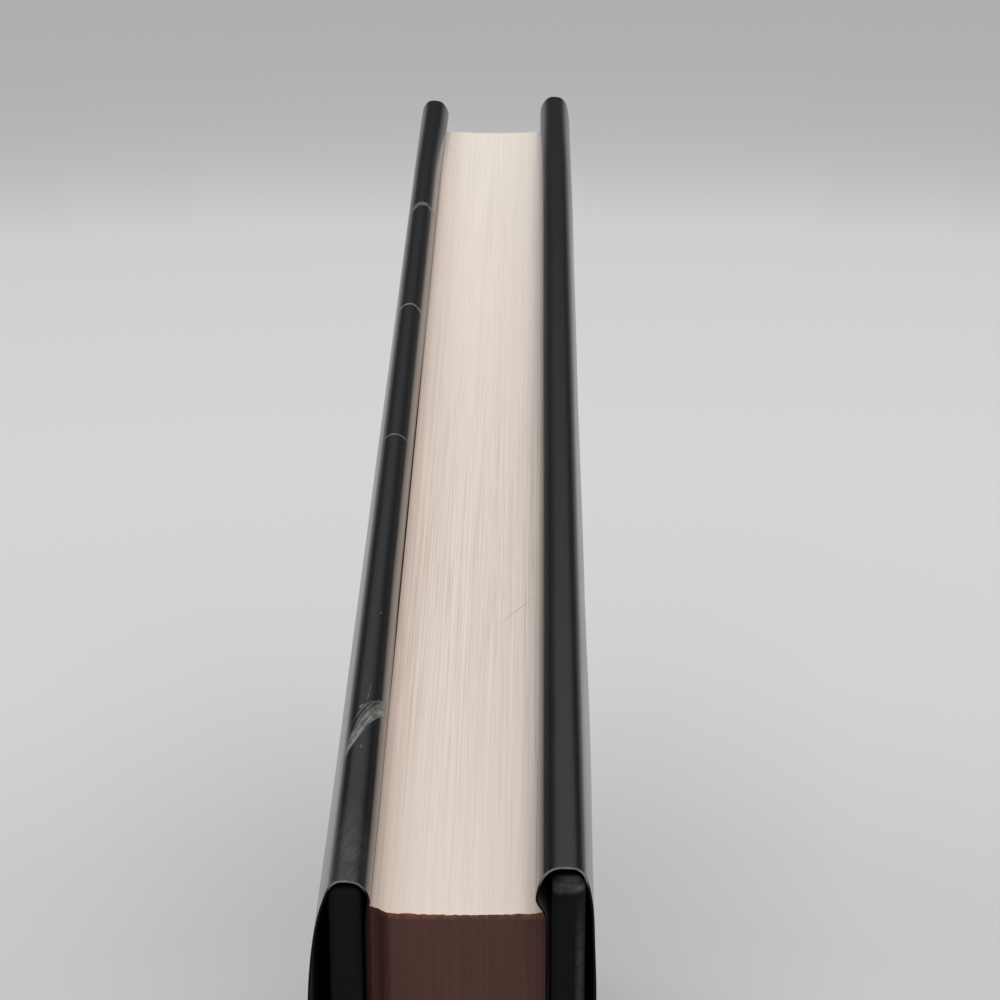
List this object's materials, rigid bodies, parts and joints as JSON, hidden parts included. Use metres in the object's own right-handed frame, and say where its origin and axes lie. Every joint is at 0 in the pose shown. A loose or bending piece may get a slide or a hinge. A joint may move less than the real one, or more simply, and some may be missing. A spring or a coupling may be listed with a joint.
{
  "type": "hardback book",
  "caption": "Thin cloth-bound hardback book in a glossy black dust jacket, standing on its flat spine, with covers that open at the joints.",
  "frame": {"origin": "middle of the face that the book stands on, under the middle of its overall box", "axes": "+Z from the spine up to the fore-edge, +Y along the spine from the head of the pages to their foot, +X towards the front cover"},
  "size_m": [0.0262, 0.236, 0.1609],
  "materials": {
    "page_paper": "matte",
    "endpaper": "matte",
    "lining_paper": "matte",
    "jacket_paper": "gloss",
    "board": "matte",
    "case_cloth": "matte",
    "mull": "matte",
    "band_cloth": "matte"
  },
  "bodies": {
    "book": {"text_block": "page_paper", "headband": "band_cloth", "tailband": "band_cloth", "spine_mull": "mull", "spine_lining": "lining_paper", "spine_inlay": "board", "spine_cloth": "case_cloth", "jacket_spine": "jacket_paper", "front_free_endpaper": "endpaper", "back_free_endpaper": "endpaper", "front_endpaper_joint": "endpaper", "front_cloth_joint": "case_cloth", "jacket_front_joint": "jacket_paper", "back_endpaper_joint": "endpaper", "back_cloth_joint": "case_cloth", "jacket_back_joint": "jacket_paper"},
    "front_cover": {"front_board": "board", "front_cover_cloth": "case_cloth", "front_pastedown": "endpaper", "jacket_front": "jacket_paper"},
    "back_cover": {"back_board": "board", "back_cover_cloth": "case_cloth", "back_pastedown": "endpaper", "jacket_back": "jacket_paper"}
  },
  "joints": [
    {"name": "front_cover_joint", "type": "hinge", "parent": "book", "child": "front_cover", "pos_m": [0.01005, 0, 0.0039], "axis": [0, 1, 0], "range_deg": [0, 180], "deforming": ["front_endpaper_joint", "front_cloth_joint", "jacket_front_joint"]},
    {"name": "back_cover_joint", "type": "hinge", "parent": "book", "child": "back_cover", "pos_m": [-0.00925, 0, 0.0039], "axis": [0, -1, 0], "range_deg": [0, 180], "deforming": ["back_endpaper_joint", "back_cloth_joint", "jacket_back_joint"]}
  ]
}
